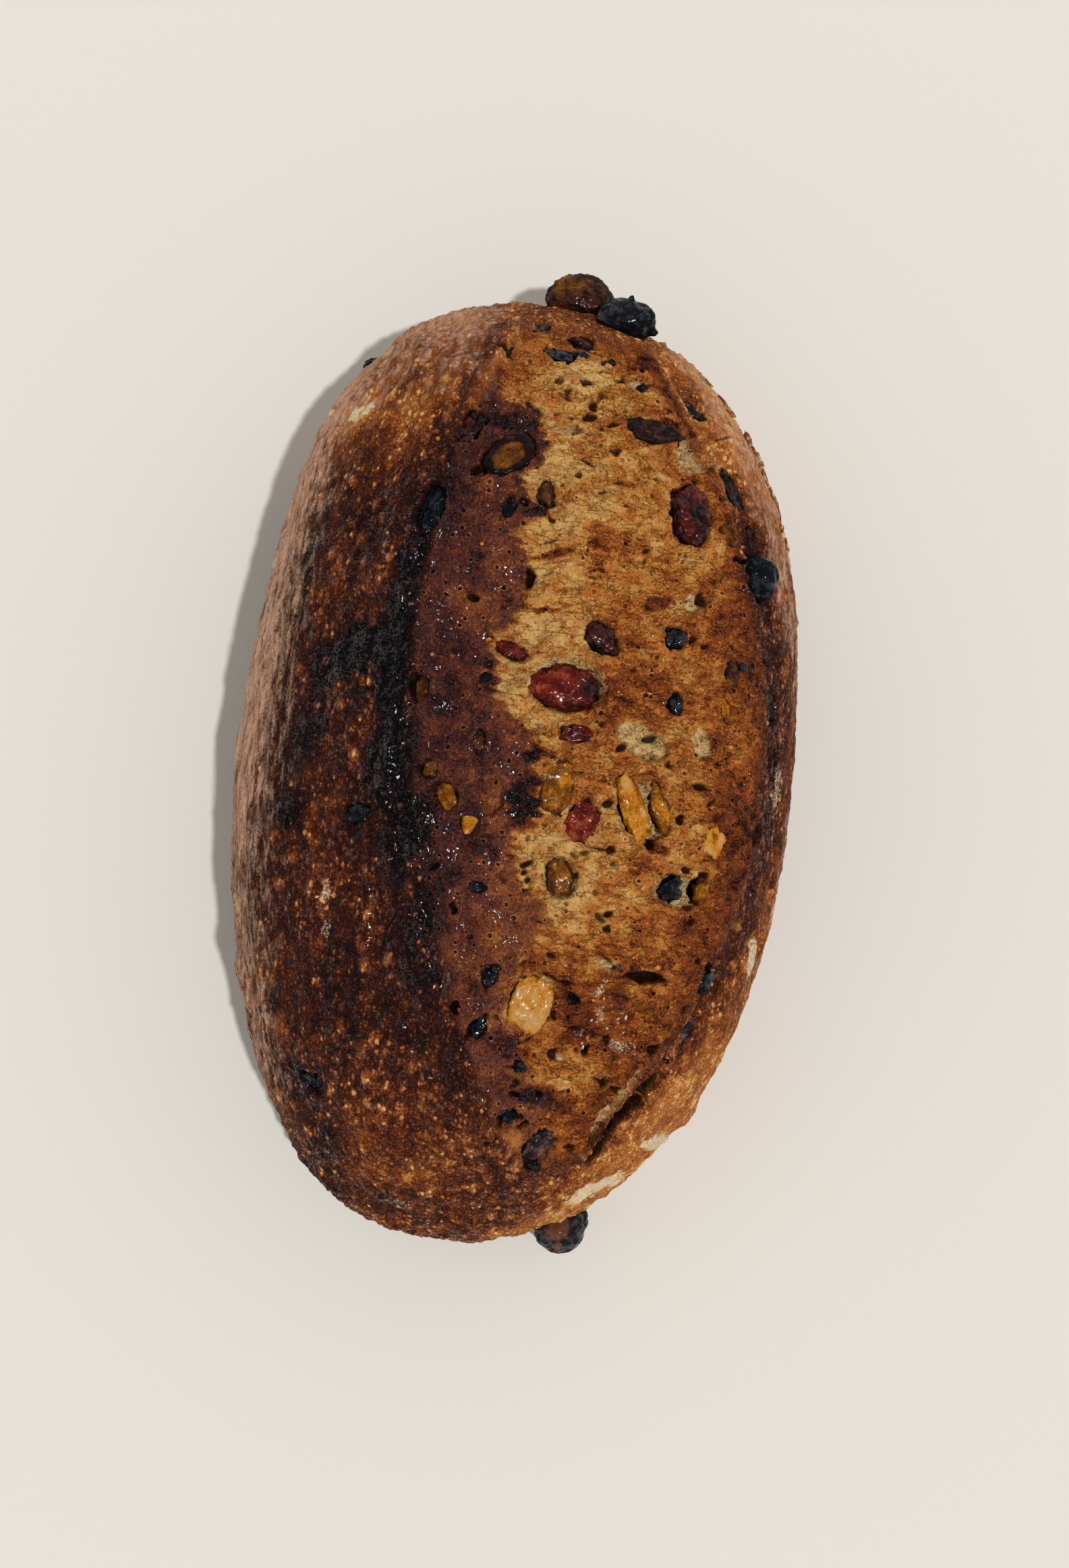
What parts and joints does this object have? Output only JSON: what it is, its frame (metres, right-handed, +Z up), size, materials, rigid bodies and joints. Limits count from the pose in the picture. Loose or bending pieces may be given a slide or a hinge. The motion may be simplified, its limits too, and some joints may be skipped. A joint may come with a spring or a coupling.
{
  "type": "fruit loaf",
  "caption": "Whole oval hearth-baked fruit loaf, burst open along one long score, with dried vine fruit and cranberries set in its crust.",
  "frame": {"origin": "on the table under the middle of the box round the loaf and its rim fruits", "axes": "+Z up; +Y along the loaf to the end where two large fruits hang on the rim; +X from the smooth crust to the burst side"},
  "size_m": [0.1286, 0.2286, 0.0816],
  "materials": {
    "crust": "baked crust, matte to half gloss",
    "raisin_skin": "wrinkled, glossy in places",
    "cranberry_skin": "wrinkled and glossy",
    "sultana_skin": "wrinkled, translucent, half gloss"
  },
  "bodies": {
    "root": {"cranberry_01": "cranberry_skin", "cranberry_02": "cranberry_skin", "cranberry_03": "cranberry_skin", "cranberry_04": "cranberry_skin", "cranberry_05": "cranberry_skin", "cranberry_06": "cranberry_skin", "cranberry_07": "cranberry_skin", "cranberry_08": "cranberry_skin", "cranberry_09": "cranberry_skin", "cranberry_10": "cranberry_skin", "cranberry_11": "cranberry_skin", "loaf": "crust", "raisin_01": "raisin_skin", "raisin_02": "raisin_skin", "raisin_03": "raisin_skin", "raisin_04": "raisin_skin", "raisin_05": "raisin_skin", "raisin_06": "raisin_skin", "raisin_07": "raisin_skin", "raisin_08": "raisin_skin", "raisin_09": "raisin_skin", "raisin_10": "raisin_skin", "raisin_11": "raisin_skin", "raisin_12": "raisin_skin", "raisin_13": "raisin_skin", "raisin_14": "raisin_skin", "raisin_15": "raisin_skin", "raisin_16": "raisin_skin", "raisin_17": "raisin_skin", "raisin_18": "raisin_skin", "raisin_19": "raisin_skin", "raisin_20": "raisin_skin", "raisin_far_rim": "raisin_skin", "raisin_left_rim": "raisin_skin", "raisin_near_rim": "raisin_skin", "sultana_01": "sultana_skin", "sultana_02": "sultana_skin", "sultana_03": "sultana_skin", "sultana_04": "sultana_skin", "sultana_05": "sultana_skin", "sultana_06": "sultana_skin", "sultana_07": "sultana_skin", "sultana_08": "sultana_skin", "sultana_09": "sultana_skin", "sultana_10": "sultana_skin", "sultana_11": "sultana_skin", "sultana_12": "sultana_skin", "sultana_13": "sultana_skin", "sultana_14": "sultana_skin", "sultana_15": "sultana_skin", "sultana_16": "sultana_skin", "sultana_17": "sultana_skin", "sultana_18": "sultana_skin", "sultana_19": "sultana_skin", "sultana_far_rim": "sultana_skin"}
  },
  "joints": []
}
